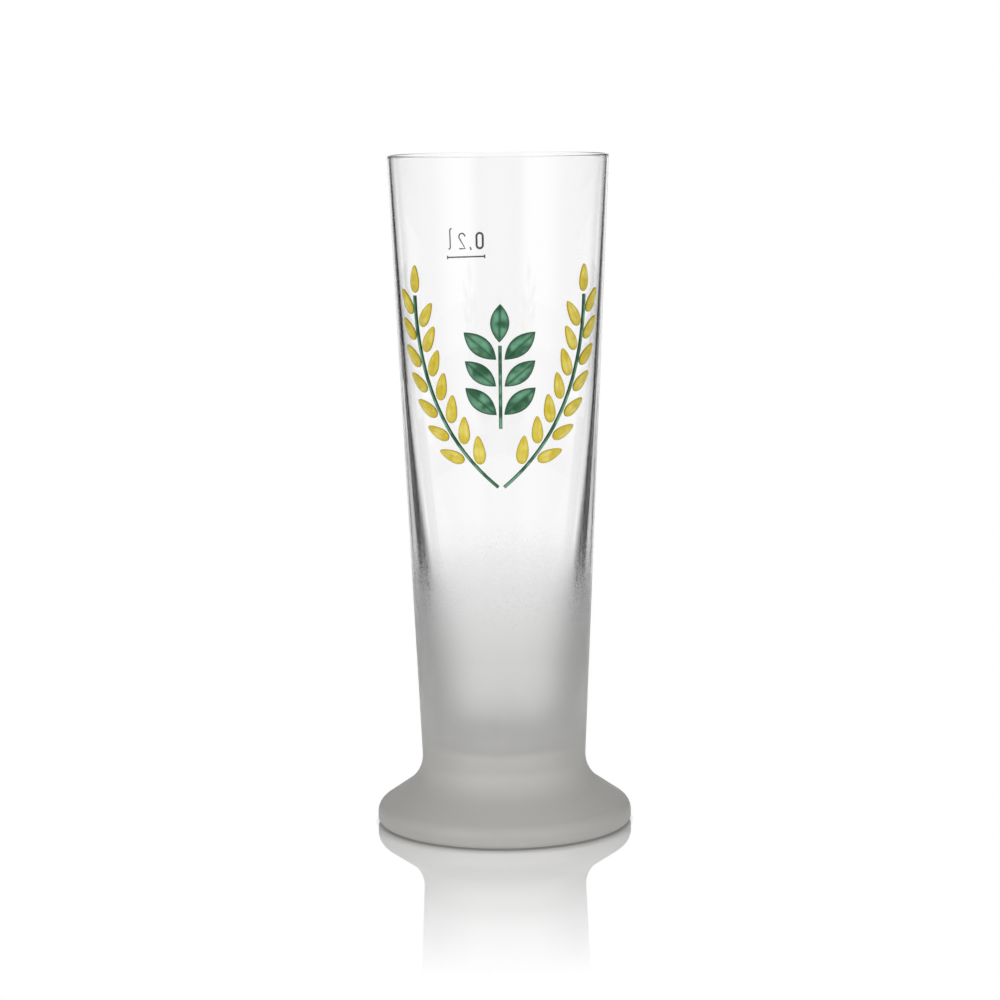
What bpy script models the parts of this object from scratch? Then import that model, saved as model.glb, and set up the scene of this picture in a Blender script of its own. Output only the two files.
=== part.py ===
# Footed beer glass: a tall tapering bowl fused to a flared foot, with fired enamel on its wall.
# Metres, +Z up. It stands on z = 0 with its axis on the Z axis, and the decoration faces -Y.

import math

import bmesh
import bpy
from mathutils import Vector

# Glass
HEIGHT = 0.181            # table to rim
RIM_RADIUS = 0.0296       # outside of the mouth
RIM_WALL = 0.0008         # wall at the mouth
THIN_WALL = 0.00165       # wall at the bottom of the evenly thin stretch
THIN_DEPTH = 0.062        # from the rim down to the end of the thin stretch
WAIST_RADIUS = 0.0220     # where wall and flare would meet without their fillet
FLARE_HEIGHT = 0.0133     # height of that corner
WAIST_FILLET = 0.0097     # rounding of that corner
FOOT_RADIUS = 0.0346      # upright edge of the foot
EDGE_HEIGHT = 0.00465     # where flare and upright edge would meet
SHOULDER_ROUND = 0.0039   # rounding of that corner
SOLE_ROUND = 0.0014       # rounding between the upright edge and the sole
SOLE_WIDTH = 0.0052       # flat ring that the glass stands on
KICK_DEPTH = 0.0022       # hollow under the foot
SEAM_RISE = 0.0005        # from the fillet's upper end to the fused seam
FLOOR_THICKNESS = 0.0018  # glass between the seam and the inside of the bowl
FLOOR_RADIUS = 0.0152     # inside of the bowl at its floor, before rounding
FLOOR_ROUND = 0.0040      # rounding between floor and wall
DRAW_SOFTNESS = 0.024     # how gently the inside turns from its thin wall into its drawn-in part

# Enamel
SEAT_GAP = 0.0003         # left between pieces that are fused together
ENAMEL_RISE = 0.00045     # relief of the decoration
ENAMEL_GAP = 0.0006       # bare glass between neighbouring islands
ART_DROP = 0.0860         # from the rim down to where the two stems start
EAR_SPLAY = math.radians(50)
EAR_BEND = 0.063          # radius of an ear's spine
EAR_PAIRS = 7             # pairs of grains on an ear, below the one at its tip
EAR_BARE = 0.0090         # stem below the first grains
STEM_RADIUS = 0.00045
GRAIN_LENGTH = 0.0074
GRAIN_WIDTH = 0.0032
GRAIN_LEAN = math.radians(34)
GRAIN_TAPER = 0.35
SPRIG_RISE = 0.0155       # lower end of the sprig above the stems' start
SPRIG_PAIRS = 3           # pairs of leaves on the sprig, below the one at its tip
LEAF_LENGTH = 0.0104
LEAF_WIDTH = 0.0048
LEAF_LEAN = math.radians(48)

# Filling mark, printed on the far side
MARK_DROP = 0.0290        # from the rim down to the line
MARK_FACING = math.radians(199.7)
MARK_LENGTH = 0.0113      # the line
MARK_TICK = 0.0010        # upright ends of the line
DIGIT_LIFT = 0.00225      # from the line up to the foot of the digits
DIGIT_HEIGHT = 0.0042
DIGIT_WIDTH = 0.0018
UNIT_HEIGHT = 0.0056
UNIT_HOOK = 0.0006        # radius of the two ends of the unit's letter
COMMA_LENGTH = 0.0008
NOUGHT_GAP = 0.0019       # from the nought to the comma
FIGURE_GAP = 0.0015       # from the comma to the two
UNIT_GAP = 0.0022         # from the two to the unit's letter
STROKE_RADIUS = 0.00021
NOUGHT_STROKE = 0.00030   # the nought is printed bolder than the rest

SEGMENTS = 64
ARC_STEPS = 6
SPINE_STEPS = 16

CLEAR = ("clear glass", (0.86, 0.89, 0.90, 1.0), 0.05)
SATIN = ("satin glass", (0.60, 0.60, 0.59, 1.0), 0.50)
YELLOW = ("yellow enamel", (0.72, 0.56, 0.04, 1.0), 0.20)
GREEN = ("green enamel", (0.01, 0.17, 0.06, 1.0), 0.20)
GREY = ("grey print", (0.08, 0.08, 0.09, 1.0), 0.45)


def remove_all():
    for item in list(bpy.data.objects):
        bpy.data.objects.remove(item)


def material(kind):
    name, colour, roughness = kind
    found = bpy.data.materials.get(name)
    if found:
        return found
    made = bpy.data.materials.new(name)
    made.use_nodes = True
    shader = made.node_tree.nodes["Principled BSDF"]
    shader.inputs["Base Color"].default_value = colour
    shader.inputs["Roughness"].default_value = roughness
    shader.inputs["Metallic"].default_value = 0.0
    return made


def place(name, mesh, kind):
    mesh.shade_smooth()
    mesh.set_sharp_from_angle(angle=math.radians(40))
    mesh.materials.append(material(kind))
    made = bpy.data.objects.new(name, mesh)
    glass_parts.objects.link(made)
    return made


def wall_radius(z):
    # Outside of the straight taper
    share = (z - FLARE_HEIGHT) / (HEIGHT - FLARE_HEIGHT)
    return WAIST_RADIUS + (RIM_RADIUS - WAIST_RADIUS) * share


def soft_bend(depth):
    # Flat at first, then a straight slope
    return math.hypot(depth, DRAW_SOFTNESS) - DRAW_SOFTNESS


def inside_radius(z):
    # Straight and thin near the rim, then drawn in along a hyperbola to the floor
    thin_end = HEIGHT - THIN_DEPTH
    rim = RIM_RADIUS - RIM_WALL
    end = wall_radius(thin_end) - THIN_WALL
    slope = (rim - end) / THIN_DEPTH
    depth = thin_end - floor_height
    drawn = end - slope * depth - FLOOR_RADIUS
    drop = max(0.0, thin_end - z)
    return end + slope * (z - thin_end) - drawn * soft_bend(drop) / soft_bend(depth)


def rounded(corners):
    # Outline through (radius, height, rounding) corners, each rounding as long as its sides allow
    points = []
    for index, (radius, height, rounding) in enumerate(corners):
        corner = Vector((radius, height))
        if not rounding:
            points.append(corner)
            continue
        back = Vector(corners[index - 1][:2]) - corner
        ahead = Vector(corners[index + 1][:2]) - corner
        half = back.angle(ahead) / 2
        reach = min(rounding / math.tan(half), 0.49 * back.length, 0.49 * ahead.length)
        back.normalize()
        ahead.normalize()
        centre = corner + (back + ahead).normalized() * reach / math.cos(half)
        start = corner + back * reach - centre
        end = corner + ahead * reach - centre
        first = math.atan2(start.y, start.x)
        turn = (math.atan2(end.y, end.x) - first + math.pi) % math.tau - math.pi
        for step in range(ARC_STEPS + 1):
            angle = first + turn * step / ARC_STEPS
            points.append(centre + Vector((math.cos(angle), math.sin(angle))) * start.length)
    return points


def turned(name, outline, kind):
    # Solid of revolution from an outline that runs down its outer side
    mesh = bpy.data.meshes.new(name)
    edges = [(index, index + 1) for index in range(len(outline) - 1)]
    mesh.from_pydata([(point.x, 0.0, point.y) for point in outline], edges, [])
    made = place(name, mesh, kind)
    screw = made.modifiers.new("Turn", "SCREW")
    screw.steps = SEGMENTS
    screw.render_steps = SEGMENTS
    screw.use_merge_vertices = True
    screw.merge_threshold = 0.00001
    screw.use_smooth_shade = True


def bowl():
    inner_steps = 8
    thin_end = HEIGHT - THIN_DEPTH
    corners = [(0.0, floor_height, 0.0), (FLOOR_RADIUS, floor_height, FLOOR_ROUND)]
    for step in range(1, inner_steps + 1):
        z = floor_height + (thin_end - floor_height) * step / inner_steps
        corners.append((inside_radius(z), z, 0.0))
    lip = 0.48 * RIM_WALL
    corners += [
        (RIM_RADIUS - RIM_WALL, HEIGHT, lip),
        (RIM_RADIUS, HEIGHT, lip),
        (wall_radius(seam_height), seam_height, 0.0),
        (0.0, seam_height, 0.0),
    ]
    turned("bowl", rounded(corners), CLEAR)


def foot():
    dome_steps = 5
    top = seam_height - SEAT_GAP
    sole_radius = FOOT_RADIUS - SOLE_ROUND - SOLE_WIDTH
    corners = [
        (0.0, top, 0.0),
        (wall_radius(top), top, 0.0),
        (WAIST_RADIUS, FLARE_HEIGHT, WAIST_FILLET),
        (FOOT_RADIUS, EDGE_HEIGHT, SHOULDER_ROUND),
        (FOOT_RADIUS, 0.0, SOLE_ROUND),
    ]
    for step in range(dome_steps + 1):
        angle = math.pi / 2 * step / dome_steps
        corners.append((sole_radius * math.cos(angle), KICK_DEPTH * math.sin(angle), 0.0))
    turned("foot", rounded(corners), SATIN)


def waist_top():
    # Upper end of the waist fillet on the straight wall
    wall = Vector((RIM_RADIUS - WAIST_RADIUS, HEIGHT - FLARE_HEIGHT))
    flare = Vector((FOOT_RADIUS - WAIST_RADIUS, EDGE_HEIGHT - FLARE_HEIGHT))
    reach = WAIST_FILLET / math.tan(wall.angle(flare) / 2)
    return FLARE_HEIGHT + min(reach, 0.49 * flare.length) * wall.normalized().y


def wrap(mesh, facing, base):
    # Lay flat artwork, drawn in x and y with its relief in z, on the outside of the bowl
    art_radius = wall_radius(base)
    for vertex in mesh.vertices:
        across, up, rise = vertex.co
        angle = facing + across / art_radius
        radius = wall_radius(base + up) + SEAT_GAP + rise
        vertex.co = (radius * math.sin(angle), -radius * math.cos(angle), base + up)


def drop_width(along, taper):
    # Width of a drop, from its blunt end at -1 to its tip at 1, against its widest
    widest = (1 - math.sqrt(1 + 8 * taper ** 2)) / (4 * taper)
    return (1 - taper * along) / ((1 - taper * widest) * math.sqrt(1 - widest ** 2))


def island(name, length, width, taper, middle, lean, kind):
    # A domed island with a flat back: a drop, or a leaf pointed at both ends where taper is 0
    work = bmesh.new()
    bmesh.ops.create_uvsphere(work, u_segments=8, v_segments=6, radius=1.0)
    for vertex in work.verts:
        side, height, along = -vertex.co.x, vertex.co.y, vertex.co.z
        swell = drop_width(along, taper) if taper else math.sqrt(max(0.0, 1 - along ** 2))
        across = width / 2 * side * swell
        ahead = length / 2 * along
        vertex.co.x = middle[0] + across * math.cos(lean) + ahead * math.sin(lean)
        vertex.co.y = middle[1] - across * math.sin(lean) + ahead * math.cos(lean)
        vertex.co.z = ENAMEL_RISE * max(0.0, height)
    mesh = bpy.data.meshes.new(name)
    work.to_mesh(mesh)
    work.free()
    wrap(mesh, 0.0, art_base)
    place(name, mesh, kind)


def stroke(name, path, radius, closed, kind, facing, base):
    # A raised line along a flat path
    curve = bpy.data.curves.new(name, "CURVE")
    curve.dimensions = "3D"
    curve.bevel_depth = radius
    curve.bevel_resolution = 1
    curve.use_fill_caps = not closed
    spline = curve.splines.new("POLY")
    spline.points.add(len(path) - 1)
    spline.use_cyclic_u = closed
    for point, (across, up) in zip(spline.points, path):
        point.co = (across, up, radius, 1.0)
    guide = bpy.data.objects.new(name, curve)
    glass_parts.objects.link(guide)
    ready = guide.evaluated_get(bpy.context.evaluated_depsgraph_get())
    mesh = bpy.data.meshes.new_from_object(ready)
    bpy.data.objects.remove(guide)
    work = bmesh.new()
    work.from_mesh(mesh)
    bmesh.ops.remove_doubles(work, verts=work.verts, dist=0.000001)
    bmesh.ops.recalc_face_normals(work, faces=work.faces)
    work.to_mesh(mesh)
    work.free()
    wrap(mesh, facing, base)
    place(name, mesh, kind)


def spine(side, run):
    # Point and heading of an ear's spine, an arc that starts splayed and straightens up
    heading = EAR_SPLAY - run / EAR_BEND
    across = STEM_RADIUS + ENAMEL_GAP / 2 + EAR_BEND * (math.cos(heading) - math.cos(EAR_SPLAY))
    up = EAR_BEND * (math.sin(EAR_SPLAY) - math.sin(heading))
    return Vector((side * across, up)), side * heading


def ahead_of(heading, distance):
    return Vector((math.sin(heading), math.cos(heading))) * distance


def beside(heading, distance):
    return Vector((math.cos(heading), -math.sin(heading))) * distance


def ear(word, side):
    pitch = (GRAIN_WIDTH + ENAMEL_GAP) / math.sin(GRAIN_LEAN)
    reach = math.hypot(GRAIN_LENGTH / 2 * math.sin(GRAIN_LEAN), GRAIN_WIDTH / 2 * math.cos(GRAIN_LEAN))
    length = EAR_BARE + EAR_PAIRS * pitch
    grains = []
    for pair in range(EAR_PAIRS):
        for row in (-1, 1):
            point, heading = spine(side, EAR_BARE + (pair + 0.5 + 0.25 * row * side) * pitch)
            out = beside(heading, row * (STEM_RADIUS + ENAMEL_GAP + reach))
            grains.append((point + out, heading + row * GRAIN_LEAN))
    end, heading = spine(side, length)
    grains.append((end + ahead_of(heading, GRAIN_LENGTH / 2 + ENAMEL_GAP), heading))
    for number, (middle, lean) in enumerate(grains, 1):
        island(f"ear_{word}_grain_{number:02d}", GRAIN_LENGTH, GRAIN_WIDTH, GRAIN_TAPER, middle, lean, YELLOW)
    path = [spine(side, length * step / SPINE_STEPS)[0] for step in range(SPINE_STEPS + 1)]
    stroke(f"ear_{word}_stem", path, STEM_RADIUS, False, GREEN, 0.0, art_base)


def sprig():
    # An upright stalk between the ears with leaves in pairs
    pitch = (LEAF_WIDTH + ENAMEL_GAP) / math.sin(LEAF_LEAN)
    length = SPRIG_PAIRS * pitch
    leaves = []
    for pair in range(SPRIG_PAIRS):
        root = Vector((0.0, SPRIG_RISE + (pair + 0.5) * pitch))
        for side in (-1, 1):
            out = beside(0.0, side * (STEM_RADIUS + ENAMEL_GAP))
            leaves.append((root + out + ahead_of(side * LEAF_LEAN, LEAF_LENGTH / 2), side * LEAF_LEAN))
    tip = Vector((0.0, SPRIG_RISE + length))
    leaves.append((tip + ahead_of(0.0, LEAF_LENGTH / 2 + ENAMEL_GAP), 0.0))
    for number, (middle, lean) in enumerate(leaves, 1):
        island(f"sprig_leaf_{number:02d}", LEAF_LENGTH, LEAF_WIDTH, 0.0, middle, lean, GREEN)
    path = [(0.0, SPRIG_RISE + length * step / SPRIG_PAIRS) for step in range(SPRIG_PAIRS + 1)]
    stroke("sprig_stem", path, STEM_RADIUS, False, GREEN, 0.0, art_base)


def arc(middle, radius, first, last):
    steps = 8
    angles = [first + (last - first) * step / steps for step in range(steps + 1)]
    return [(middle[0] + radius * math.cos(angle), middle[1] + radius * math.sin(angle)) for angle in angles]


def filling_mark():
    low = DIGIT_LIFT
    high = DIGIT_LIFT + DIGIT_HEIGHT
    bend = DIGIT_WIDTH / 2
    hook = UNIT_HOOK
    half = MARK_LENGTH / 2
    tick = MARK_TICK / 2
    slant = COMMA_LENGTH / 3
    width = 2 * DIGIT_WIDTH + NOUGHT_GAP + FIGURE_GAP + UNIT_GAP + 2 * hook
    zero = bend - width / 2
    comma = zero + bend + NOUGHT_GAP
    two = comma + FIGURE_GAP + bend
    unit = two + bend + UNIT_GAP + hook
    nought = arc((zero, high - bend), bend, 0.0, math.pi) + arc((zero, low + bend), bend, math.pi, math.tau)
    figure = arc((two, high - bend), bend, math.pi, -0.2 * math.pi) + [(two - bend, low), (two + bend, low)]
    letter = arc((unit - hook, low + UNIT_HEIGHT - hook), hook, math.pi / 2, 0.0)
    letter += arc((unit + hook, low + hook), hook, math.pi, 1.5 * math.pi)
    signs = {
        "fill_line": ([(-half, tick), (-half, 0.0), (0.0, 0.0), (half, 0.0), (half, tick)], False, STROKE_RADIUS),
        "fill_digit_0": (nought, True, NOUGHT_STROKE),
        "fill_comma": ([(comma, low + COMMA_LENGTH / 2), (comma - slant, low - COMMA_LENGTH / 2)], False, STROKE_RADIUS),
        "fill_digit_2": (figure, False, STROKE_RADIUS),
        "fill_unit_l": (letter, False, STROKE_RADIUS),
    }
    for name, (path, closed, radius) in signs.items():
        stroke(name, path, radius, closed, GREY, MARK_FACING, HEIGHT - MARK_DROP)


remove_all()
glass_parts = bpy.data.collections.new("footed_beer_glass")
bpy.context.scene.collection.children.link(glass_parts)

seam_height = waist_top() + SEAM_RISE
floor_height = seam_height + FLOOR_THICKNESS
art_base = HEIGHT - ART_DROP

bowl()
foot()
ear("left", -1)
ear("right", 1)
sprig()
filling_mark()
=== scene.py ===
import math

import bmesh
import bpy
from mathutils import Matrix, Vector


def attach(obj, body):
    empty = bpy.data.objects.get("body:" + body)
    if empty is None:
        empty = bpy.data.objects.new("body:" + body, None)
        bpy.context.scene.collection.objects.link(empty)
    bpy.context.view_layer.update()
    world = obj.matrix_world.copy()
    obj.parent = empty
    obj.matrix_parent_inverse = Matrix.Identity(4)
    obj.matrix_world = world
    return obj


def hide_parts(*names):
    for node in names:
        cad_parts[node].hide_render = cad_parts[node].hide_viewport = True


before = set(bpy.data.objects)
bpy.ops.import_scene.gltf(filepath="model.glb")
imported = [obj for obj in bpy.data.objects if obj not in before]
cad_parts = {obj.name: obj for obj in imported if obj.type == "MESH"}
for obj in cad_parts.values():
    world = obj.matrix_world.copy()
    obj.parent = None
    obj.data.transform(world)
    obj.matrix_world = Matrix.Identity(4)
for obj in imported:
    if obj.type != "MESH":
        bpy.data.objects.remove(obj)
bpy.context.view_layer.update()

bounces = 32  # light runs round inside the thick wall many times
scene = bpy.context.scene
scene.view_settings.view_transform = "Standard"
scene.cycles.max_bounces = bounces
scene.cycles.glossy_bounces = bounces
scene.cycles.transmission_bounces = bounces
print("frame loaded:", len(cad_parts), "nodes")


def linear(hexColour):  # sRGB hex to linear RGBA
    parts = [int(hexColour[i:i + 2], 16) / 255 for i in (1, 3, 5)]
    return tuple(p / 12.92 if p <= 0.04045 else ((p + 0.055) / 1.055) ** 2.4 for p in parts) + (1.0,)


def addNode(tree, kind, inputs=None, **settings):  # one node with its settings, values and links
    node = tree.nodes.new(kind)
    for name, value in settings.items():
        setattr(node, name, value)
    for key, value in (inputs or {}).items():
        if isinstance(value, bpy.types.NodeSocket):
            tree.links.new(value, node.inputs[key])
        else:
            node.inputs[key].default_value = value
    return node


def startMaterial(name):
    material = bpy.data.materials.new(name)
    material.use_nodes = True
    material.node_tree.nodes.clear()
    return material, material.node_tree


def startTree(name, inputs):  # geometry in, geometry out, and named sizes between
    tree = bpy.data.node_groups.new(name, "GeometryNodeTree")
    tree.interface.new_socket(name="Geometry", in_out="INPUT", socket_type="NodeSocketGeometry")
    for label, kind in inputs.items():
        tree.interface.new_socket(name=label, in_out="INPUT", socket_type="NodeSocket" + kind)
    tree.interface.new_socket(name="Geometry", in_out="OUTPUT", socket_type="NodeSocketGeometry")
    return tree, tree.nodes.new("NodeGroupInput").outputs, tree.nodes.new("NodeGroupOutput").inputs


def bakeNodes(name, data, tree, values):  # run a tree once and keep a plain mesh
    holder = bpy.data.objects.new(name + "Holder", data)
    scene.collection.objects.link(holder)
    modifier = holder.modifiers.new(name, "NODES")
    modifier.node_group = tree
    for item in tree.interface.items_tree:
        if item.in_out == "INPUT" and item.name in values:
            modifier[item.identifier] = values[item.name]
    depsgraph = bpy.context.evaluated_depsgraph_get()
    ready = holder.evaluated_get(depsgraph)
    mesh = bpy.data.meshes.new_from_object(ready, preserve_all_data_layers=True, depsgraph=depsgraph)
    bpy.data.objects.remove(holder)
    mesh.name = name
    piece = bpy.data.objects.new(name, mesh)
    scene.collection.objects.link(piece)
    return piece


def settle(piece, nodes):  # where a finished piece belongs
    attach(piece, "root")
    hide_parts(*nodes)
    triangles = sum(len(face.vertices) - 2 for face in piece.data.polygons)
    print(piece.name, "replaces", len(nodes), "nodes with", triangles, "triangles")


# Camera, fitted to the outline of rim, wall and foot
camera = {
    "distance": 0.7939, "eye": 0.1980, "side": -0.00040, "nearest": 0.01,  # metres
    "pitch": 7.882, "roll": -0.60,  # degrees
    "lens": 106.7, "sensor": 36.0,  # millimetres
}

cameraData = bpy.data.cameras.new("photoCamera")
cameraData.lens = camera["lens"]
cameraData.sensor_width = camera["sensor"]
cameraData.clip_start = camera["nearest"]
cameraObject = bpy.data.objects.new("photoCamera", cameraData)
scene.collection.objects.link(cameraObject)
cameraObject.matrix_world = (
    Matrix.Translation((camera["side"], -camera["distance"], camera["eye"]))
    @ Matrix.Rotation(math.radians(90 - camera["pitch"]), 4, "X")
    @ Matrix.Rotation(math.radians(camera["roll"]), 4, "Z")
)
scene.camera = cameraObject
print("camera set")

# Soda-lime glass, blown and fire polished: clear, with slow upright waves that streak what is seen through it
glass = {"ior": 1.52, "wave": 0.009, "waveStretch": 0.12, "waveDepth": 0.000002, "waveStrength": 0.5}


def clearGlass():
    material, tree = startMaterial("sodaLimeGlassPolished")
    coordinates = addNode(tree, "ShaderNodeTexCoord")
    stretch = addNode(tree, "ShaderNodeMapping", {
        "Vector": coordinates.outputs["Object"], "Scale": (1, 1, glass["waveStretch"])})
    waves = addNode(tree, "ShaderNodeTexNoise", {
        "Vector": stretch.outputs[0], "Scale": 1 / glass["wave"], "Detail": 1.0})
    bump = addNode(tree, "ShaderNodeBump", {
        "Height": waves.outputs[0], "Distance": glass["waveDepth"], "Strength": glass["waveStrength"]})
    shader = addNode(tree, "ShaderNodeBsdfPrincipled", {
        "Base Color": linear("#FFFFFF"), "Roughness": 0.0, "IOR": glass["ior"],
        "Transmission Weight": 1.0, "Normal": bump.outputs[0]})
    addNode(tree, "ShaderNodeOutputMaterial", {"Surface": shader.outputs[0]})
    return material


# The same glass, acid etched outside to a satin, milky at the foot and broken into specks as it fades; its
# grey tint, darker on the milky foot, is painted shade.
# Real specks are far finer than a pixel, so they are drawn as coarse as they need to show.
frost = {
    "top": 0.0805, "full": 0.0525,  # heights between which the specks close up
    # the grey and milky tints are painted shade, darkening the satin towards the foot
    "greyTop": 0.0720, "greyFull": 0.0480, "greyShadeTint": "#E2E2E1",
    "milkTop": 0.031, "milkFull": 0.020, "footShadeTint": "#CFCECB",
    "roughness": 0.40, "footRoughness": 0.54,
    "veil": 0.19, "milk": 0.31,  # light held back by the satin, and by the milky foot besides
    "speck": 0.00030, "speckSwirl": 2.0, "speckEdge": 0.08,
    "speckNoise": (0.33, 0.69), "speckCover": (0.03, 0.78),  # noise, and the cover at which it turns satin
    "patch": 0.0006, "patchShare": 0.06,
}


def satinGlass():
    material, tree = startMaterial("sodaLimeGlassEtched")
    coordinates = addNode(tree, "ShaderNodeTexCoord")
    height = addNode(tree, "ShaderNodeSeparateXYZ", {0: coordinates.outputs["Object"]})
    cover = addNode(tree, "ShaderNodeMapRange", {
        "Value": height.outputs["Z"], "From Min": frost["top"], "From Max": frost["full"]})
    grain = addNode(tree, "ShaderNodeTexNoise", {
        "Vector": coordinates.outputs["Object"], "Scale": 1 / frost["speck"], "Detail": 1.0,
        "Distortion": frost["speckSwirl"]})
    specks = addNode(tree, "ShaderNodeMapRange", {
        "Value": grain.outputs[0], "From Min": frost["speckNoise"][0], "From Max": frost["speckNoise"][1],
        "To Min": frost["speckCover"][0], "To Max": frost["speckCover"][1]})
    patches = addNode(tree, "ShaderNodeTexNoise", {
        "Vector": coordinates.outputs["Object"], "Scale": 1 / frost["patch"], "Detail": 1.0})
    uneven = addNode(tree, "ShaderNodeMath", {
        0: patches.outputs[0], 1: frost["patchShare"], 2: specks.outputs[0]}, operation="MULTIPLY_ADD")
    above = addNode(tree, "ShaderNodeMath", {0: cover.outputs[0], 1: uneven.outputs[0]}, operation="SUBTRACT")
    etched = addNode(tree, "ShaderNodeMapRange", {
        "Value": above.outputs[0], "From Min": -frost["speckEdge"], "From Max": frost["speckEdge"]})
    milky = addNode(tree, "ShaderNodeMapRange", {
        "Value": height.outputs["Z"], "From Min": frost["milkTop"], "From Max": frost["milkFull"]})
    depth = addNode(tree, "ShaderNodeMapRange", {
        "Value": milky.outputs[0], "To Min": frost["roughness"], "To Max": frost["footRoughness"]})
    rough = addNode(tree, "ShaderNodeMath", {0: etched.outputs[0], 1: depth.outputs[0]}, operation="MULTIPLY")
    veil = addNode(tree, "ShaderNodeMath", {
        0: etched.outputs[0], 1: -frost["veil"], 2: 1.0}, operation="MULTIPLY_ADD")
    passing = addNode(tree, "ShaderNodeMath", {
        0: milky.outputs[0], 1: -frost["milk"], 2: veil.outputs[0]}, operation="MULTIPLY_ADD")
    # painted shade: a grey tint deepening downwards, darker still on the milky foot
    dense = addNode(tree, "ShaderNodeMapRange", {
        "Value": height.outputs["Z"], "From Min": frost["greyTop"], "From Max": frost["greyFull"]})
    grey = addNode(tree, "ShaderNodeMix", {
        "Factor": dense.outputs[0], "A": linear("#FFFFFF"), "B": linear(frost["greyShadeTint"])}, data_type="RGBA")
    paintedShadeTint = addNode(tree, "ShaderNodeMix", {
        "Factor": milky.outputs[0], "A": grey.outputs["Result"], "B": linear(frost["footShadeTint"])},
        data_type="RGBA")
    shader = addNode(tree, "ShaderNodeBsdfPrincipled", {
        "Base Color": paintedShadeTint.outputs["Result"], "Roughness": rough.outputs[0], "IOR": glass["ior"],
        "Transmission Weight": passing.outputs[0]})
    addNode(tree, "ShaderNodeOutputMaterial", {"Surface": shader.outputs[0]})
    return material


# Glass body, turned from one outline: inside of the bowl, rim, outside, foot and hollow underside
body = {
    "height": 0.181, "rimRadius": 0.0296, "rimWall": 0.0008, "lipShare": 0.48,  # lip rounding, share of wall
    "thinWall": 0.00165, "thinDepth": 0.062, "drawSoftness": 0.024, "drawSteps": 24,
    "floorThickness": 0.0018, "floorRadius": 0.0152, "floorRound": 0.0040, "floorRun": 0.1,
    "waistRadius": 0.0220, "flareHeight": 0.0133, "waistFillet": 0.0097, "seamRise": 0.0005,
    "footRadius": 0.0346, "edgeHeight": 0.00465, "shoulderRound": 0.0039,
    "soleRound": 0.0014, "soleWidth": 0.0052, "kickDepth": 0.0022, "kickSteps": 12,
    "segments": 512, "arcSteps": 12, "cornerShare": 0.49,  # of the shorter run beside a rounding
    "longestStep": 0.03, "guard": 0.0008, "weld": 1e-6,
}


def wallRadius(z):  # outside of the straight taper
    share = (z - body["flareHeight"]) / (body["height"] - body["flareHeight"])
    return body["waistRadius"] + (body["rimRadius"] - body["waistRadius"]) * share


def floorHeight():  # inside of the bowl, above the fused foot
    taper = Vector((body["rimRadius"] - body["waistRadius"], body["height"] - body["flareHeight"]))
    flare = Vector((body["footRadius"] - body["waistRadius"], body["edgeHeight"] - body["flareHeight"]))
    reach = min(body["waistFillet"] / math.tan(taper.angle(flare) / 2), body["cornerShare"] * flare.length)
    return body["flareHeight"] + reach * taper.normalized().y + body["seamRise"] + body["floorThickness"]


def softBend(depth):  # flat at first, then a straight slope
    return math.hypot(depth, body["drawSoftness"]) - body["drawSoftness"]


def insideRadius(z):  # thin and straight below the rim, then drawn in to the floor
    thinEnd = body["height"] - body["thinDepth"]
    end = wallRadius(thinEnd) - body["thinWall"]
    slope = (body["rimRadius"] - body["rimWall"] - end) / body["thinDepth"]
    depth = thinEnd - floorHeight()
    drawn = end - slope * depth - body["floorRadius"]
    return end + slope * (z - thinEnd) - drawn * softBend(max(0.0, thinEnd - z)) / softBend(depth)


def roundedOutline(corners):  # (radius, height, rounding) corners to a smooth run of points
    points = []
    for index, (radius, height, rounding) in enumerate(corners):
        corner = Vector((radius, height))
        if not rounding:
            points.append(corner)
            continue
        back = Vector(corners[index - 1][:2]) - corner
        onward = Vector(corners[index + 1][:2]) - corner
        half = back.angle(onward) / 2
        room = body["cornerShare"] * min(back.length, onward.length)
        reach = min(rounding / math.tan(half), room)
        back.normalize()
        onward.normalize()
        centre = corner + (back + onward).normalized() * reach / math.cos(half)
        start = corner + back * reach - centre
        end = corner + onward * reach - centre
        first = math.atan2(start.y, start.x)
        turn = (math.atan2(end.y, end.x) - first + math.pi) % math.tau - math.pi
        for step in range(body["arcSteps"] + 1):
            angle = first + turn * step / body["arcSteps"]
            points.append(centre + Vector((math.cos(angle), math.sin(angle))) * start.length)
    filled = [points[0]]
    for point in points[1:]:  # long straight runs get rows of their own, and guard rows beside a rounding
        last = filled[-1]
        length = (point - last).length
        shares = [1.0]
        if length > 4 * body["guard"]:  # room for both guards and a stretch between them
            parts = math.ceil(length / body["longestStep"])
            edge = body["guard"] / length
            shares = sorted({edge, 1 - edge, *(part / parts for part in range(1, parts + 1))})
        filled += [last.lerp(point, share) for share in shares]
    return filled


def glassOutline():
    floor = floorHeight()
    thinEnd = body["height"] - body["thinDepth"]
    lip = body["lipShare"] * body["rimWall"]
    soleRadius = body["footRadius"] - body["soleRound"] - body["soleWidth"]
    corners = [(0.0, floor, 0.0), (body["floorRadius"], floor, body["floorRound"])]
    for step in range(1, body["drawSteps"] + 1):  # the drawn-in wall, a short run above the floor's rounding
        share = body["floorRun"] + (1 - body["floorRun"]) * step / body["drawSteps"]
        z = floor + (thinEnd - floor) * share
        corners.append((insideRadius(z), z, 0.0))
    corners += [
        (body["rimRadius"] - body["rimWall"], body["height"], lip),
        (body["rimRadius"], body["height"], lip),
        (body["waistRadius"], body["flareHeight"], body["waistFillet"]),
        (body["footRadius"], body["edgeHeight"], body["shoulderRound"]),
        (body["footRadius"], 0.0, body["soleRound"]),
    ]
    for step in range(body["kickSteps"] + 1):  # the hollow underside, a quarter of an ellipse
        angle = math.pi / 2 * step / body["kickSteps"]
        corners.append((soleRadius * math.cos(angle), body["kickDepth"] * math.sin(angle), 0.0))
    return roundedOutline(corners)


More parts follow.
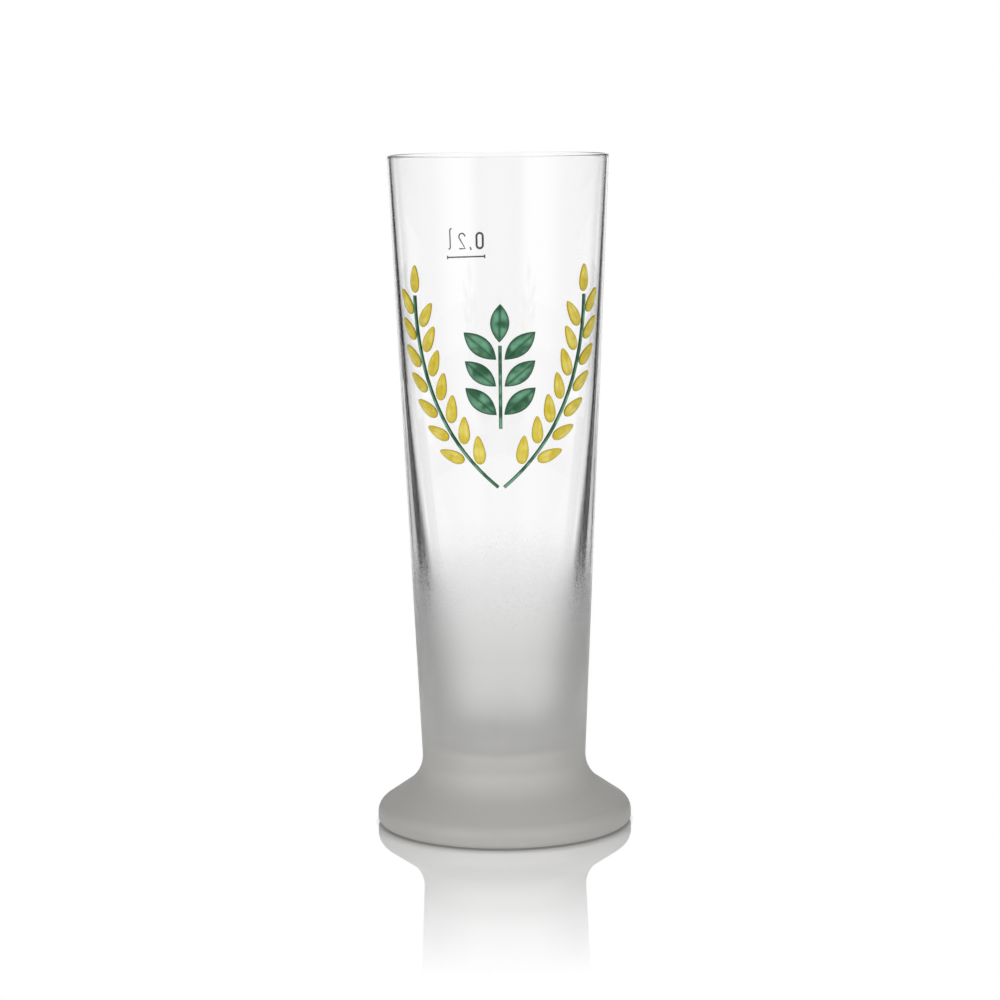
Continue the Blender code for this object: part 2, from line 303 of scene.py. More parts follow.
def turningTree():  # each outline point becomes a ring
    tree, given, result = startTree("turnGlass", {
        "Segments": "Int", "Rim row": "Int", "Weld": "Float", "Inside": "Material", "Outside": "Material"})
    size = addNode(tree, "GeometryNodeAttributeDomainSize", {0: given["Geometry"]}, component="CURVE")
    columns = addNode(tree, "ShaderNodeMath", {0: given["Segments"], 1: 1.0}, operation="ADD")
    rows = size.outputs["Point Count"]
    grid = addNode(tree, "GeometryNodeMeshGrid", {"Vertices X": columns.outputs[0], "Vertices Y": rows})
    index = addNode(tree, "GeometryNodeInputIndex")
    row = addNode(tree, "ShaderNodeMath", {0: index.outputs[0], 1: rows}, operation="MODULO")
    share = addNode(tree, "ShaderNodeMath", {0: index.outputs[0], 1: rows}, operation="DIVIDE")
    column = addNode(tree, "ShaderNodeMath", {0: share.outputs[0]}, operation="FLOOR")
    part = addNode(tree, "ShaderNodeMath", {0: column.outputs[0], 1: given["Segments"]}, operation="DIVIDE")
    angle = addNode(tree, "ShaderNodeMath", {0: part.outputs[0], 1: -math.tau}, operation="MULTIPLY")
    place = addNode(tree, "GeometryNodeInputPosition")
    point = addNode(tree, "GeometryNodeSampleIndex", {
        "Geometry": given["Geometry"], "Value": place.outputs[0], "Index": row.outputs[0]},
        data_type="FLOAT_VECTOR", domain="POINT")
    turned = addNode(tree, "ShaderNodeVectorRotate", {
        "Vector": point.outputs[0], "Axis": (0, 0, 1), "Angle": angle.outputs[0]})
    moved = addNode(tree, "GeometryNodeSetPosition", {
        "Geometry": grid.outputs["Mesh"], "Position": turned.outputs[0]})
    stored = addNode(tree, "GeometryNodeStoreNamedAttribute", {
        "Geometry": moved.outputs[0], "Name": "outlineRow", "Value": row.outputs[0]},
        data_type="FLOAT", domain="POINT")
    closed = addNode(tree, "GeometryNodeMergeByDistance", {
        "Geometry": stored.outputs[0], "Distance": given["Weld"]})
    smooth = addNode(tree, "GeometryNodeSetShadeSmooth", {"Geometry": closed.outputs[0]})
    realized = addNode(tree, "GeometryNodeRealizeInstances", {"Geometry": smooth.outputs[0]})
    kept = addNode(tree, "GeometryNodeInputNamedAttribute", {"Name": "outlineRow"}, data_type="FLOAT")
    outer = addNode(tree, "FunctionNodeCompare", {
        0: kept.outputs[0], 1: given["Rim row"]}, data_type="FLOAT", operation="GREATER_EQUAL")
    polished = addNode(tree, "GeometryNodeSetMaterial", {
        "Geometry": realized.outputs[0], "Material": given["Inside"]})
    etched = addNode(tree, "GeometryNodeSetMaterial", {
        "Geometry": polished.outputs[0], "Selection": outer.outputs[0], "Material": given["Outside"]})
    tree.links.new(etched.outputs[0], result["Geometry"])
    return tree


def polyCurve(name, paths):  # flat or upright paths of points, each (points, closed)
    curve = bpy.data.curves.new(name, "CURVE")
    curve.dimensions = "3D"
    for points, closed in paths:
        spline = curve.splines.new("POLY")
        spline.points.add(len(points) - 1)
        spline.use_cyclic_u = closed
        for slot, point in zip(spline.points, points):
            slot.co = (*point, 1.0)
    return curve


outline = glassOutline()
rimRow = max(range(len(outline)), key=lambda row: outline[row].y)
outlineCurve = polyCurve("glassOutline", [([(p.x, 0.0, p.y) for p in outline], False)])
glassBody = bakeNodes("glassBody", outlineCurve, turningTree(), {
    "Segments": body["segments"], "Rim row": rimRow, "Weld": body["weld"],
    "Inside": clearGlass(), "Outside": satinGlass()})
settle(glassBody, ["bowl", "foot"])

# Fired relief enamel: a thick glossy glaze with soft shoulders; the lighter pools on its crown are a painted
# highlight, and its dark outlines are painted shade at the relief's edges
enamel = {
    "ior": 1.54, "gloss": (0.10, 0.22),
    "pool": 0.0032, "poolNoise": (0.32, 0.66), "poolShare": (0.06, 0.92),
    "crown": (0.55, 0.95), "outline": (0.08, 0.60),  # shares of the relief where the crown's painted highlight and the outline's painted shade blend in
    "peel": 0.0006, "peelDepth": 0.00003, "peelStrength": 0.35,  # orange peel
    "sunk": 0.00006, "backFrom": -0.05, "backLift": 1.0,  # back fused into the wall, coloured as the crown, its painted highlight pools included
}
# Each colour: the glaze's own deep tone, a lighter tone painted on the crown as a highlight, and a darker
# tone painted along the edges as shade
yellow = {"paintedHighlight": "#E0D068", "deep": "#C6B004", "edge": "#8C7210"}
green = {"paintedHighlight": "#68A081", "deep": "#034A28", "edge": "#05341D"}


def firedEnamel(name, tones):
    material, tree = startMaterial(name)
    coordinates = addNode(tree, "ShaderNodeTexCoord")
    lift = addNode(tree, "ShaderNodeAttribute", attribute_name="lift")
    cloud = addNode(tree, "ShaderNodeTexNoise", {
        "Vector": coordinates.outputs["Object"], "Scale": 1 / enamel["pool"], "Detail": 1.0})
    pool = addNode(tree, "ShaderNodeMapRange", {
        "Value": cloud.outputs[0], "From Min": enamel["poolNoise"][0], "From Max": enamel["poolNoise"][1],
        "To Min": enamel["poolShare"][0], "To Max": enamel["poolShare"][1]}, interpolation_type="SMOOTHSTEP")
    crown = addNode(tree, "ShaderNodeMapRange", {
        "Value": lift.outputs["Fac"], "From Min": enamel["crown"][0], "From Max": enamel["crown"][1]},
        interpolation_type="SMOOTHSTEP")
    # painted highlight: lighter pools on the crown of the relief
    paintedHighlightShare = addNode(tree, "ShaderNodeMath", {0: pool.outputs[0], 1: crown.outputs[0]}, operation="MULTIPLY")
    glaze = addNode(tree, "ShaderNodeMix", {
        "Factor": paintedHighlightShare.outputs[0], "A": linear(tones["deep"]), "B": linear(tones["paintedHighlight"])}, data_type="RGBA")
    # painted shade: the colour darkens towards the relief's edges
    edgeShadeFade = addNode(tree, "ShaderNodeMapRange", {
        "Value": lift.outputs["Fac"], "From Min": enamel["outline"][0], "From Max": enamel["outline"][1]},
        interpolation_type="SMOOTHSTEP")
    colour = addNode(tree, "ShaderNodeMix", {
        "Factor": edgeShadeFade.outputs[0], "A": linear(tones["edge"]), "B": glaze.outputs["Result"]},
        data_type="RGBA")
    gloss = addNode(tree, "ShaderNodeMapRange", {
        "Value": cloud.outputs[0], "To Min": enamel["gloss"][0], "To Max": enamel["gloss"][1]})
    peel = addNode(tree, "ShaderNodeTexNoise", {
        "Vector": coordinates.outputs["Object"], "Scale": 1 / enamel["peel"], "Detail": 1.0})
    bump = addNode(tree, "ShaderNodeBump", {
        "Height": peel.outputs[0], "Distance": enamel["peelDepth"], "Strength": enamel["peelStrength"]})
    shader = addNode(tree, "ShaderNodeBsdfPrincipled", {
        "Base Color": colour.outputs["Result"], "Roughness": gloss.outputs[0], "IOR": enamel["ior"],
        "Normal": bump.outputs[0]})
    addNode(tree, "ShaderNodeOutputMaterial", {"Surface": shader.outputs[0]})
    return material


# Artwork is drawn flat, x across and y up with its relief in z, and then laid round the bowl
wall = {"Waist radius": body["waistRadius"], "Waist height": body["flareHeight"],
        "Rim radius": body["rimRadius"], "Rim height": body["height"]}
wallSockets = dict.fromkeys(list(wall) + ["Facing", "Base height"], "Float")


def wrappingTree():
    tree, given, result = startTree("layRoundBowl", wallSockets)
    place = addNode(tree, "GeometryNodeInputPosition")
    flat = addNode(tree, "ShaderNodeSeparateXYZ", {0: place.outputs[0]})
    level = addNode(tree, "ShaderNodeMath", {0: flat.outputs["Y"], 1: given["Base height"]}, operation="ADD")
    radii = []
    for height in (given["Base height"], level.outputs[0]):
        taper = addNode(tree, "ShaderNodeMapRange", {
            "Value": height, "From Min": given["Waist height"], "From Max": given["Rim height"],
            "To Min": given["Waist radius"], "To Max": given["Rim radius"]}, clamp=False)
        radii.append(taper.outputs[0])
    turn = addNode(tree, "ShaderNodeMath", {0: flat.outputs["X"], 1: radii[0]}, operation="DIVIDE")
    angle = addNode(tree, "ShaderNodeMath", {0: turn.outputs[0], 1: given["Facing"]}, operation="ADD")
    radius = addNode(tree, "ShaderNodeMath", {0: radii[1], 1: flat.outputs["Z"]}, operation="ADD")
    inward = addNode(tree, "ShaderNodeMath", {0: radius.outputs[0], 1: -1.0}, operation="MULTIPLY")
    front = addNode(tree, "ShaderNodeCombineXYZ", {"Y": inward.outputs[0], "Z": level.outputs[0]})
    turned = addNode(tree, "ShaderNodeVectorRotate", {
        "Vector": front.outputs[0], "Axis": (0, 0, 1), "Angle": angle.outputs[0]})
    moved = addNode(tree, "GeometryNodeSetPosition", {
        "Geometry": given["Geometry"], "Position": turned.outputs[0]})
    tree.links.new(moved.outputs[0], result["Geometry"])
    return tree


def layAndCoat(tree, given, result, shape):  # how both trees below end
    realized = addNode(tree, "GeometryNodeRealizeInstances", {"Geometry": shape})
    laid = addNode(tree, "GeometryNodeGroup", node_tree=wrapTree)
    tree.links.new(realized.outputs[0], laid.inputs["Geometry"])
    for label in wallSockets:
        tree.links.new(given[label], laid.inputs[label])
    smooth = addNode(tree, "GeometryNodeSetShadeSmooth", {"Geometry": laid.outputs[0]})
    coated = addNode(tree, "GeometryNodeSetMaterial", {
        "Geometry": smooth.outputs[0], "Material": given["Enamel"]})
    tree.links.new(coated.outputs[0], result["Geometry"])


def islandTree():  # one island shape on every point, leaning as the point says
    tree, given, result = startTree("reliefIslands", {"Shape": "Object", "Enamel": "Material", **wallSockets})
    shape = addNode(tree, "GeometryNodeObjectInfo", {"Object": given["Shape"]})
    lean = addNode(tree, "GeometryNodeInputNamedAttribute", {"Name": "lean"}, data_type="FLOAT")
    back = addNode(tree, "ShaderNodeMath", {0: lean.outputs[0], 1: -1.0}, operation="MULTIPLY")
    turn = addNode(tree, "ShaderNodeCombineXYZ", {"Z": back.outputs[0]})
    swell = addNode(tree, "GeometryNodeInputNamedAttribute", {"Name": "swell"}, data_type="FLOAT")
    copies = addNode(tree, "GeometryNodeInstanceOnPoints", {
        "Points": given["Geometry"], "Instance": shape.outputs["Geometry"], "Rotation": turn.outputs[0],
        "Scale": swell.outputs[0]})
    layAndCoat(tree, given, result, copies.outputs[0])
    return tree


def strokeTree():  # a raised line along each path, flattened to its relief
    tree, given, result = startTree("raisedStroke", {
        "Half width": "Float", "Relief": "Float", "Back": "Float", "Sides": "Int", "Enamel": "Material",
        **wallSockets})
    section = addNode(tree, "GeometryNodeCurvePrimitiveCircle", {
        "Resolution": given["Sides"], "Radius": given["Half width"]})
    tube = addNode(tree, "GeometryNodeCurveToMesh", {
        "Curve": given["Geometry"], "Profile Curve": section.outputs[0], "Fill Caps": True})
    place = addNode(tree, "GeometryNodeInputPosition")
    parts = addNode(tree, "ShaderNodeSeparateXYZ", {0: place.outputs[0]})
    share = addNode(tree, "ShaderNodeMath", {
        0: parts.outputs["Z"], 1: given["Half width"]}, operation="DIVIDE")
    behind = addNode(tree, "ShaderNodeMath", {
        0: share.outputs[0], 1: enamel["backFrom"]}, operation="LESS_THAN")
    front = addNode(tree, "ShaderNodeMath", {0: share.outputs[0], 1: 0.0}, operation="MAXIMUM")
    lift = addNode(tree, "ShaderNodeMath", {
        0: behind.outputs[0], 1: enamel["backLift"], 2: front.outputs[0]}, operation="MULTIPLY_ADD")
    kept = addNode(tree, "GeometryNodeStoreNamedAttribute", {
        "Geometry": tube.outputs[0], "Name": "lift", "Value": lift.outputs[0]},
        data_type="FLOAT", domain="POINT")
    raised = addNode(tree, "ShaderNodeMath", {0: share.outputs[0], 1: given["Relief"]}, operation="MULTIPLY")
    depth = addNode(tree, "ShaderNodeMath", {0: raised.outputs[0], 1: given["Back"]}, operation="MAXIMUM")
    low = addNode(tree, "ShaderNodeCombineXYZ", {
        "X": parts.outputs["X"], "Y": parts.outputs["Y"], "Z": depth.outputs[0]})
    pressed = addNode(tree, "GeometryNodeSetPosition", {
        "Geometry": kept.outputs[0], "Position": low.outputs[0]})
    layAndCoat(tree, given, result, pressed.outputs[0])
    return tree


wrapTree = wrappingTree()
islands = islandTree()
strokes = strokeTree()
stroke = {"sides": 16}


def layStrokes(name, paths, halfWidth, relief, coat, facing, base):
    curve = polyCurve(name, [([(x, y, 0.0) for x, y in points], closed) for points, closed in paths])
    return bakeNodes(name, curve, strokes, {
        "Half width": halfWidth, "Relief": relief, "Back": -enamel["sunk"], "Sides": stroke["sides"],
        "Enamel": coat, "Facing": facing, "Base height": base, **wall})


# One grain or leaf, its back sunk in the glass
dome = {"meridians": 36, "rings": 26, "fullness": 0.55, "furrowWidth": 0.2, "backSlope": 8}


def domedShape(name, length, width, taper, rise, groove):
    work = bmesh.new()
    bmesh.ops.create_uvsphere(work, u_segments=dome["meridians"], v_segments=dome["rings"], radius=1.0)
    lift = work.verts.layers.float.new("lift")
    for vertex in work.verts:
        side, height, along = -vertex.co.x, vertex.co.y, vertex.co.z
        girth = math.sqrt(max(1e-9, 1 - along ** 2))
        if taper:  # a drop, blunt at its root
            widest = (1 - math.sqrt(1 + 8 * taper ** 2)) / (4 * taper)
            swell = (1 - taper * along) / ((1 - taper * widest) * math.sqrt(1 - widest ** 2))
        else:  # a leaf, pointed at both ends
            swell = girth
        furrow = groove * math.exp(-(side / girth / dome["furrowWidth"]) ** 2) * girth
        share = max(0.0, height) ** dome["fullness"] * (1 - furrow)
        vertex[lift] = share if height > enamel["backFrom"] else enamel["backLift"]
        depth = rise * share
        if height <= 0:
            depth = -enamel["sunk"] * min(1.0, -dome["backSlope"] * height)
        vertex.co = (width / 2 * side * swell, length / 2 * along, depth)
    mesh = bpy.data.meshes.new(name)
    work.to_mesh(mesh)
    work.free()
    shape = bpy.data.objects.new(name, mesh)
    scene.collection.objects.link(shape)
    return shape


# Laid by hand, so no two islands lean or swell quite alike
handLaid = {"lean": 0.03, "leanBeat": 2.4, "swell": 0.03, "swellBeat": 1.7, "swellStart": 0.6}


def pointCloud(name, places):  # (x, y, lean) of every island
    mesh = bpy.data.meshes.new(name)
    mesh.from_pydata([(x, y, 0.0) for x, y, lean in places], [], [])
    leans = mesh.attributes.new("lean", "FLOAT", "POINT")
    swells = mesh.attributes.new("swell", "FLOAT", "POINT")
    for index, (x, y, lean) in enumerate(places):
        leans.data[index].value = lean + handLaid["lean"] * math.sin(index * handLaid["leanBeat"])
        beat = index * handLaid["swellBeat"] + handLaid["swellStart"]
        swells.data[index].value = 1.0 + handLaid["swell"] * math.sin(beat)
    return mesh


ears = {
    "drop": 0.0860, "splay": math.radians(50), "bend": 0.063, "pairs": 7, "bare": 0.0090,
    "stemRadius": 0.00045, "stemSteps": 40, "gap": 0.0006, "rise": 0.0007, "stagger": 0.25,
    "grainLength": 0.0074, "grainWidth": 0.0032, "grainLean": math.radians(34), "grainTaper": 0.35,
    "groove": 0.22,
}
sprig = {
    "rise": 0.0155, "pairs": 3, "stemSteps": 20,
    "leafLength": 0.0104, "leafWidth": 0.0048, "leafLean": math.radians(48), "groove": 0.35,
}
artBase = body["height"] - ears["drop"]
yellowEnamel = firedEnamel("firedEnamelYellow", yellow)
greenEnamel = firedEnamel("firedEnamelGreen", green)


def spine(side, run):  # an ear's stalk, splayed at its foot and straightening upwards
    heading = ears["splay"] - run / ears["bend"]
    inset = ears["stemRadius"] + ears["gap"] / 2
    across = inset + ears["bend"] * (math.cos(heading) - math.cos(ears["splay"]))
    up = ears["bend"] * (math.sin(ears["splay"]) - math.sin(heading))
    return Vector((side * across, up)), side * heading


def ahead(heading, distance):
    return Vector((math.sin(heading), math.cos(heading))) * distance


def beside(heading, distance):
    return Vector((math.cos(heading), -math.sin(heading))) * distance


def layIslands(name, places, shape, coat):
    return bakeNodes(name, pointCloud(name, places), islands, {
        "Shape": shape, "Enamel": coat, "Facing": 0.0, "Base height": artBase, **wall})


def layStem(name, path, node):
    stem = layStrokes(name, [(path, False)], ears["stemRadius"], ears["rise"], greenEnamel, 0.0, artBase)
    settle(stem, [node])


def barleyEar(word, side, grain):
    lean = ears["grainLean"]
    pitch = (ears["grainWidth"] + ears["gap"]) / math.sin(lean)
    reach = math.hypot(ears["grainLength"] / 2 * math.sin(lean), ears["grainWidth"] / 2 * math.cos(lean))
    length = ears["bare"] + ears["pairs"] * pitch
    places = []
    for pair in range(ears["pairs"]):
        for row in (-1, 1):
            run = ears["bare"] + (pair + 0.5 + ears["stagger"] * row * side) * pitch
            point, heading = spine(side, run)
            middle = point + beside(heading, row * (ears["stemRadius"] + ears["gap"] + reach))
            places.append((*middle, heading + row * lean))
    end, heading = spine(side, length)
    places.append((*(end + ahead(heading, ears["grainLength"] / 2 + ears["gap"])), heading))
    piece = layIslands(word + "EarGrains", places, grain, yellowEnamel)
    settle(piece, [f"ear_{word}_grain_{number:02d}" for number in range(1, len(places) + 1)])
    steps = ears["stemSteps"]
    path = [tuple(spine(side, length * step / steps)[0]) for step in range(steps + 1)]
    layStem(word + "EarStem", path, f"ear_{word}_stem")


def leafSprig(leaf):
    lean = sprig["leafLean"]
    pitch = (sprig["leafWidth"] + ears["gap"]) / math.sin(lean)
    length = sprig["pairs"] * pitch
    places = []
    for pair in range(sprig["pairs"]):
        root = Vector((0.0, sprig["rise"] + (pair + 0.5) * pitch))
        for side in (-1, 1):
            out = beside(0.0, side * (ears["stemRadius"] + ears["gap"]))
            places.append((*(root + out + ahead(side * lean, sprig["leafLength"] / 2)), side * lean))
    top = sprig["rise"] + length
    places.append((0.0, top + sprig["leafLength"] / 2 + ears["gap"], 0.0))
    piece = layIslands("sprigLeaves", places, leaf, greenEnamel)
    settle(piece, [f"sprig_leaf_{number:02d}" for number in range(1, len(places) + 1)])
    steps = sprig["stemSteps"]
    path = [(0.0, sprig["rise"] + length * step / steps) for step in range(steps + 1)]
    layStem("sprigStem", path, "sprig_stem")


grainShape = domedShape(
    "grainShape", ears["grainLength"], ears["grainWidth"], ears["grainTaper"], ears["rise"], ears["groove"])
leafShape = domedShape(
    "leafShape", sprig["leafLength"], sprig["leafWidth"], 0.0, ears["rise"], sprig["groove"])
barleyEar("left", -1, grainShape)
barleyEar("right", 1, grainShape)
leafSprig(leafShape)
for shape in (grainShape, leafShape):
    bpy.data.objects.remove(shape)

# Fired screen print: a thin matt grey, uneven where the mesh laid it down.
# The mesh itself is finer than a pixel, so its unevenness is drawn as coarse as it needs to show.
screen = {"grain": 0.0005, "dark": "#3E3E43", "light": "#58585D", "roughness": 0.5}


def screenPrint():
    material, tree = startMaterial("screenPrintGrey")
    coordinates = addNode(tree, "ShaderNodeTexCoord")
    grain = addNode(tree, "ShaderNodeTexNoise", {
        "Vector": coordinates.outputs["Object"], "Scale": 1 / screen["grain"], "Detail": 2.0})
    tone = addNode(tree, "ShaderNodeMix", {
        "Factor": grain.outputs[0], "A": linear(screen["dark"]), "B": linear(screen["light"])},
        data_type="RGBA")
    shader = addNode(tree, "ShaderNodeBsdfPrincipled", {
        "Base Color": tone.outputs["Result"], "Roughness": screen["roughness"]})
    addNode(tree, "ShaderNodeOutputMaterial", {"Surface": shader.outputs[0]})
    return material


# Filling mark, printed on the outside of the far wall, so that it reads backwards through the glass
mark = {
    "drop": 0.0290, "facing": math.radians(199.7), "length": 0.0113, "tick": 0.0010, "lift": 0.00225,
    "digitHeight": 0.0042, "digitWidth": 0.0018, "unitHeight": 0.0056, "hook": 0.0006,
    "commaLength": 0.0008, "commaSlant": 2 / 3, "twoEnd": -0.2 * math.pi,  # where the two leaves its bow
    "noughtGap": 0.0019, "figureGap": 0.0015, "unitGap": 0.0022,
    "halfStroke": 0.00021, "noughtStroke": 0.00030, "relief": 0.00004, "arcSteps": 16,
}


def arc(middle, radius, first, last):
    steps = mark["arcSteps"]
    angles = [first + (last - first) * step / steps for step in range(steps + 1)]
    return [(middle[0] + radius * math.cos(a), middle[1] + radius * math.sin(a)) for a in angles]


def fillingMark():
    low, high = mark["lift"], mark["lift"] + mark["digitHeight"]
    bend, half, tick = mark["digitWidth"] / 2, mark["length"] / 2, mark["tick"] / 2
    hook, comma = mark["hook"], mark["commaLength"] / 2
    gaps = mark["noughtGap"] + mark["figureGap"] + mark["unitGap"]
    zero = bend - (2 * mark["digitWidth"] + gaps + 2 * hook) / 2  # the signs stand centred over the line
    point = zero + bend + mark["noughtGap"]
    two = point + mark["figureGap"] + bend
    unit = two + bend + mark["unitGap"] + hook
    line = [(-half, 0.0), (half, 0.0)]
    leftTick, rightTick = [[(end, -tick), (end, tick)] for end in (-half, half)]
    nought = arc((zero, high - bend), bend, 0.0, math.pi) + arc((zero, low + bend), bend, math.pi, math.tau)
    dash = [(point, low + comma), (point - comma * mark["commaSlant"], low - comma)]
    bow = arc((two, high - bend), bend, math.pi, mark["twoEnd"]) + [(two - bend, low), (two + bend, low)]
    upper = arc((unit - hook, low + mark["unitHeight"] - hook), hook, math.pi / 2, 0.0)
    lower = arc((unit + hook, low + hook), hook, math.pi, 1.5 * math.pi)
    signs = {
        "fillLine": ("fill_line", [(line, False), (leftTick, False), (rightTick, False)]),
        "fillNought": ("fill_digit_0", [(nought, True)]),
        "fillComma": ("fill_comma", [(dash, False)]),
        "fillTwo": ("fill_digit_2", [(bow, False)]),
        "fillUnit": ("fill_unit_l", [(upper + lower, False)]),
    }
    greyPrint = screenPrint()
    base = body["height"] - mark["drop"]
    for name, (node, paths) in signs.items():
        halfStroke = mark["noughtStroke"] if name == "fillNought" else mark["halfStroke"]
        piece = layStrokes(name, paths, halfStroke, mark["relief"], greyPrint, mark["facing"], base)
        settle(piece, [node])


fillingMark()

# White sweep: camera, gloss and glass see plain white, and matt surfaces get a weaker fill
sweep = {"tone": "#FFFFFF", "seen": 1.0, "fill": 0.35}


def seenDirectly(tree, path):  # by the camera, in gloss or through glass
    first = addNode(tree, "ShaderNodeMath", {
        0: path.outputs["Is Camera Ray"], 1: path.outputs["Is Glossy Ray"]}, operation="MAXIMUM")
    both = addNode(tree, "ShaderNodeMath", {
        0: first.outputs[0], 1: path.outputs["Is Transmission Ray"]}, operation="MAXIMUM")
    return both.outputs[0]


def whiteWorld():
    world = bpy.data.worlds.new("whiteSweep")
    world.use_nodes = True
    tree = world.node_tree
    tree.nodes.clear()
    seen = seenDirectly(tree, addNode(tree, "ShaderNodeLightPath"))
    level = addNode(tree, "ShaderNodeMapRange", {
        "Value": seen, "To Min": sweep["fill"], "To Max": sweep["seen"]})
    light = addNode(tree, "ShaderNodeBackground", {
        "Color": linear(sweep["tone"]), "Strength": level.outputs[0]})
    addNode(tree, "ShaderNodeOutputWorld", {"Surface": light.outputs[0]})
    scene.world = world


# White acrylic sheet, glossy as moulded: it mirrors the foot sharply, less so from above, with the mirror's
# strength painted by distance from the foot, stronger close by and fading farther off
acrylic = {
    "reach": 6.0, "drop": 0.0002, "tone": "#F2F2F2", "roughness": 0.02,
    "mirror": 0.68, "mirrorStart": 0.043, "mirrorEnd": 0.146, "mirrorAside": 1.25,  # fades sooner sideways
    "closeMirror": 0.22, "closeStart": 0.0352, "closeEnd": 0.0388,  # mirror share painted stronger just round the foot
    "steep": 0.30, "slanting": 0.66, "slantBlend": 0.5,
    # painted contact shadow: the white and its mirror image darken where the floor is hemmed in under the
    # foot's edge
    "contact": 0.0015, "paintedContactShade": 0.64, "contactOpen": (0.35, 0.9), "contactSamples": 8,
    "under": 0.25, "underStart": 0.028, "underEnd": 0.038,  # shade under the foot, as the glass sees it
}


def acrylicSheet():
    material, tree = startMaterial("whiteAcrylicSheet")
    path = addNode(tree, "ShaderNodeLightPath")
    seen = seenDirectly(tree, path)
    byCamera = path.outputs["Is Camera Ray"]
    coordinates = addNode(tree, "ShaderNodeTexCoord")
    away = addNode(tree, "ShaderNodeVectorMath", {0: coordinates.outputs["Object"]}, operation="LENGTH")
    aside = addNode(tree, "ShaderNodeMapping", {
        "Vector": coordinates.outputs["Object"], "Scale": (acrylic["mirrorAside"], 1, 1)})
    spread = addNode(tree, "ShaderNodeVectorMath", {0: aside.outputs[0]}, operation="LENGTH")
    fade = addNode(tree, "ShaderNodeMapRange", {
        "Value": spread.outputs["Value"],
        "From Min": acrylic["mirrorStart"], "From Max": acrylic["mirrorEnd"],
        "To Min": acrylic["mirror"], "To Max": 0.0})
    close = addNode(tree, "ShaderNodeMapRange", {
        "Value": away.outputs["Value"], "From Min": acrylic["closeStart"], "From Max": acrylic["closeEnd"],
        "To Min": acrylic["closeMirror"], "To Max": 0.0})
    whole = addNode(tree, "ShaderNodeMath", {0: fade.outputs[0], 1: close.outputs[0]}, operation="ADD")
    # painted contact shadow from occlusion near the foot, shown to the camera
    near = addNode(tree, "ShaderNodeAmbientOcclusion", {
        "Distance": acrylic["contact"]}, samples=acrylic["contactSamples"])
    glow = addNode(tree, "ShaderNodeMapRange", {
        "Value": near.outputs["AO"],
        "From Min": acrylic["contactOpen"][0], "From Max": acrylic["contactOpen"][1],
        "To Min": acrylic["paintedContactShade"], "To Max": 1.0})
    # painted shade under the foot, shown to glass and gloss
    under = addNode(tree, "ShaderNodeMapRange", {
        "Value": away.outputs["Value"], "From Min": acrylic["underStart"], "From Max": acrylic["underEnd"],
        "To Min": acrylic["under"], "To Max": 1.0})
    below = addNode(tree, "ShaderNodeMath", {0: under.outputs[0], 1: byCamera}, operation="MAXIMUM")
    within = addNode(tree, "ShaderNodeMath", {0: 1.0, 1: byCamera}, operation="SUBTRACT")
    shade = addNode(tree, "ShaderNodeMath", {0: glow.outputs[0], 1: within.outputs[0]}, operation="MAXIMUM")
    paintedShadeLevel = addNode(tree, "ShaderNodeMath", {0: shade.outputs[0], 1: below.outputs[0]}, operation="MULTIPLY")
    white = addNode(tree, "ShaderNodeEmission", {"Color": linear(sweep["tone"]), "Strength": paintedShadeLevel.outputs[0]})
    matt = addNode(tree, "ShaderNodeBsdfDiffuse", {"Color": linear(acrylic["tone"])})
    plain = addNode(tree, "ShaderNodeMixShader", {0: seen, 1: matt.outputs[0], 2: white.outputs[0]})
    slant = addNode(tree, "ShaderNodeLayerWeight", {"Blend": acrylic["slantBlend"]})
    gloss = addNode(tree, "ShaderNodeMapRange", {
        "Value": slant.outputs["Facing"], "From Min": acrylic["steep"], "From Max": acrylic["slanting"]})
    strong = addNode(tree, "ShaderNodeMath", {0: whole.outputs[0], 1: gloss.outputs[0]}, operation="MULTIPLY")
    share = addNode(tree, "ShaderNodeMath", {0: strong.outputs[0], 1: byCamera}, operation="MULTIPLY")
    # a traced reflection, darkened by the same painted contact shadow
    mirror = addNode(tree, "ShaderNodeBsdfGlossy", {
        "Color": glow.outputs[0], "Roughness": acrylic["roughness"]})
    surface = addNode(tree, "ShaderNodeMixShader", {
        0: share.outputs[0], 1: plain.outputs[0], 2: mirror.outputs[0]})
    addNode(tree, "ShaderNodeOutputMaterial", {"Surface": surface.outputs[0]})
    return material


def acrylicFloor():
    reach = acrylic["reach"]
    corners = [(x * reach, y * reach, -acrylic["drop"]) for x, y in ((-1, -1), (1, -1), (1, 1), (-1, 1))]
    mesh = bpy.data.meshes.new("floor")
    mesh.from_pydata(corners, [], [(0, 1, 2, 3)])
    mesh.materials.append(acrylicSheet())
    floor = bpy.data.objects.new("floor", mesh)
    scene.collection.objects.link(floor)


# Cards round the glass, seen only by glass and gloss: dark beside the open back, paler to the front.
# A tone is (degrees from the open back, level), the same to either side.
cards = {
    "openRight": 25.5, "openLeft": 23.5, "radius": 0.5, "hub": 0.001, "bottom": 0.0008, "steps": 96,
    "tops": [0.050, 0.090, 0.16, 0.6],  # upper edges of the low, middle, upper and high cards
    "low": [(27.5, 1.0), (28, 0.005), (56, 0.005), (62, 1.0), (85, 1.0), (110, 0.42)],
    "middle": [(56, 0.005), (62, 1.0), (80, 0.65), (105, 0.55), (128, 0.95), (148, 0.95), (158, 0.50)],
    "upper": [
        (38, 0.005), (50, 0.70), (64, 0.90), (80, 0.60), (105, 0.55), (128, 0.95), (148, 0.95), (158, 0.50)],
    "high": [(50, 0.06), (78, 0.55), (105, 0.55), (128, 0.95), (148, 0.95), (158, 0.50)],
    "ceiling": [(0, 0.55), (180, 0.55)],
    "table": [(25, 0.84), (34, 0.41)], "tableInner": 0.060,
    "flag": [(0, 0.005), (180, 0.005)], "flagHeight": 0.0012,
    "flagCorners": [(38, 0.16), (27.5, 0.55), (60, 0.55), (68, 0.16)],  # degrees and metres from the glass
}


